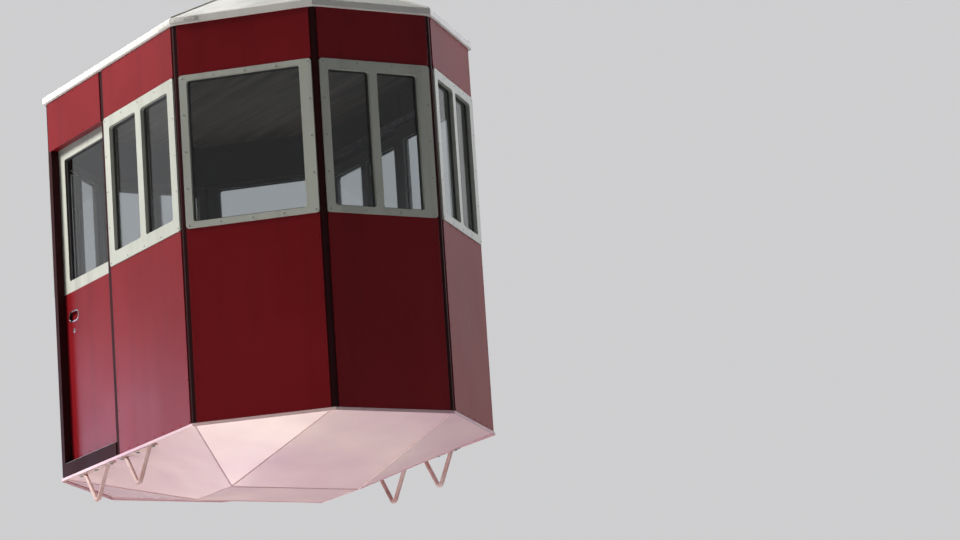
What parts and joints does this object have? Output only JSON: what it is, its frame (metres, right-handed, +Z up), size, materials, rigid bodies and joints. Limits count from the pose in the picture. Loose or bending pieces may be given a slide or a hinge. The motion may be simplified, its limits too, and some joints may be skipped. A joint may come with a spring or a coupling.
{
  "type": "aerial cable car cabin with hanger and rope carriage",
  "caption": "Eight-sided cable car cabin with sliding doors, hung by a curved box arm from a rocking carriage of grooved rope wheels.",
  "frame": {"origin": "on the track rope's axis at the middle of the carriage", "axes": "+Z up, +Y along the rope, +X across, towards the side where the hanger arm swings out"},
  "size_m": [1.966, 3.06, 6.0848],
  "materials": {
    "maroon_paint": "semi-gloss dark maroon paint",
    "red_paint": "gloss red paint",
    "cream_paint": "semi-gloss off-white paint",
    "smoked_glass": "dark tinted safety glass",
    "roof_paint": "matt pale paint",
    "ceiling_board": "varnished board",
    "deck_board": "worn boards",
    "pan_paint": "semi-gloss pale paint",
    "bright_steel": "machined steel",
    "grey_paint": "grey machine paint",
    "dark_iron": "greased cast iron",
    "wheel_steel": "cast steel with a bright groove"
  },
  "bodies": {
    "carriage": {"main_beam": "grey_paint", "hanger_pin": "bright_steel", "rope_brake": "dark_iron", "haul_bar": "dark_iron"},
    "cabin": {"corner_posts": "maroon_paint", "lower_panels": "red_paint", "upper_panels": "red_paint", "door_surrounds": "red_paint", "window_frames": "cream_paint", "window_panes": "smoked_glass", "eave_rim": "cream_paint", "roof_shell": "roof_paint", "ceiling": "ceiling_board", "floor_deck": "deck_board", "floor_pan": "pan_paint", "guide_brackets": "cream_paint", "hand_rails": "bright_steel", "door_tracks": "bright_steel", "roof_beam": "grey_paint", "hanger_arm": "grey_paint"},
    "door_left": {"door_panel_left": "red_paint", "door_frame_left": "cream_paint", "door_pane_left": "smoked_glass"},
    "door_right": {"door_panel_right": "red_paint", "door_frame_right": "cream_paint", "door_pane_right": "smoked_glass"},
    "rocker_1": {"rocker_beam_1": "grey_paint"},
    "bogie_1": {"bogie_frame_1": "grey_paint", "bogie_axles_1": "bright_steel"},
    "wheel_1": {"wheel_1": "wheel_steel"},
    "wheel_2": {"wheel_2": "wheel_steel"},
    "bogie_2": {"bogie_frame_2": "grey_paint", "bogie_axles_2": "bright_steel"},
    "wheel_3": {"wheel_3": "wheel_steel"},
    "wheel_4": {"wheel_4": "wheel_steel"},
    "rocker_2": {"rocker_beam_2": "grey_paint"},
    "bogie_3": {"bogie_frame_3": "grey_paint", "bogie_axles_3": "bright_steel"},
    "wheel_5": {"wheel_5": "wheel_steel"},
    "wheel_6": {"wheel_6": "wheel_steel"},
    "bogie_4": {"bogie_frame_4": "grey_paint", "bogie_axles_4": "bright_steel"},
    "wheel_7": {"wheel_7": "wheel_steel"},
    "wheel_8": {"wheel_8": "wheel_steel"}
  },
  "joints": [
    {"name": "cabin_swing", "type": "hinge", "parent": "carriage", "child": "cabin", "pos_m": [0, 0, 0.56], "axis": [1, 0, 0], "range_deg": [-35, 35]},
    {"name": "door_left_slide", "type": "slide", "parent": "cabin", "child": "door_left", "axis": [0, -1, 0], "range_m": [0, 0.745]},
    {"name": "door_right_slide", "type": "slide", "parent": "cabin", "child": "door_right", "axis": [0, 1, 0], "range_m": [0, 0.745]},
    {"name": "rocker_1_tilt", "type": "hinge", "parent": "carriage", "child": "rocker_1", "pos_m": [0, -0.88, 0.3425], "axis": [1, 0, 0], "range_deg": [-10, 10]},
    {"name": "bogie_1_tilt", "type": "hinge", "parent": "rocker_1", "child": "bogie_1", "pos_m": [0, -1.23, 0.1925], "axis": [1, 0, 0], "range_deg": [-12, 12]},
    {"name": "wheel_1_turn", "type": "hinge", "parent": "bogie_1", "child": "wheel_1", "pos_m": [0, -1.4, 0.1225], "axis": [1, 0, 0], "continuous": true},
    {"name": "wheel_2_turn", "type": "hinge", "parent": "bogie_1", "child": "wheel_2", "pos_m": [0, -1.06, 0.1225], "axis": [1, 0, 0], "continuous": true},
    {"name": "bogie_2_tilt", "type": "hinge", "parent": "rocker_1", "child": "bogie_2", "pos_m": [0, -0.53, 0.1925], "axis": [1, 0, 0], "range_deg": [-12, 12]},
    {"name": "wheel_3_turn", "type": "hinge", "parent": "bogie_2", "child": "wheel_3", "pos_m": [0, -0.7, 0.1225], "axis": [1, 0, 0], "continuous": true},
    {"name": "wheel_4_turn", "type": "hinge", "parent": "bogie_2", "child": "wheel_4", "pos_m": [0, -0.36, 0.1225], "axis": [1, 0, 0], "continuous": true},
    {"name": "rocker_2_tilt", "type": "hinge", "parent": "carriage", "child": "rocker_2", "pos_m": [0, 0.88, 0.3425], "axis": [1, 0, 0], "range_deg": [-10, 10]},
    {"name": "bogie_3_tilt", "type": "hinge", "parent": "rocker_2", "child": "bogie_3", "pos_m": [0, 0.53, 0.1925], "axis": [1, 0, 0], "range_deg": [-12, 12]},
    {"name": "wheel_5_turn", "type": "hinge", "parent": "bogie_3", "child": "wheel_5", "pos_m": [0, 0.36, 0.1225], "axis": [1, 0, 0], "continuous": true},
    {"name": "wheel_6_turn", "type": "hinge", "parent": "bogie_3", "child": "wheel_6", "pos_m": [0, 0.7, 0.1225], "axis": [1, 0, 0], "continuous": true},
    {"name": "bogie_4_tilt", "type": "hinge", "parent": "rocker_2", "child": "bogie_4", "pos_m": [0, 1.23, 0.1925], "axis": [1, 0, 0], "range_deg": [-12, 12]},
    {"name": "wheel_7_turn", "type": "hinge", "parent": "bogie_4", "child": "wheel_7", "pos_m": [0, 1.06, 0.1225], "axis": [1, 0, 0], "continuous": true},
    {"name": "wheel_8_turn", "type": "hinge", "parent": "bogie_4", "child": "wheel_8", "pos_m": [0, 1.4, 0.1225], "axis": [1, 0, 0], "continuous": true}
  ]
}
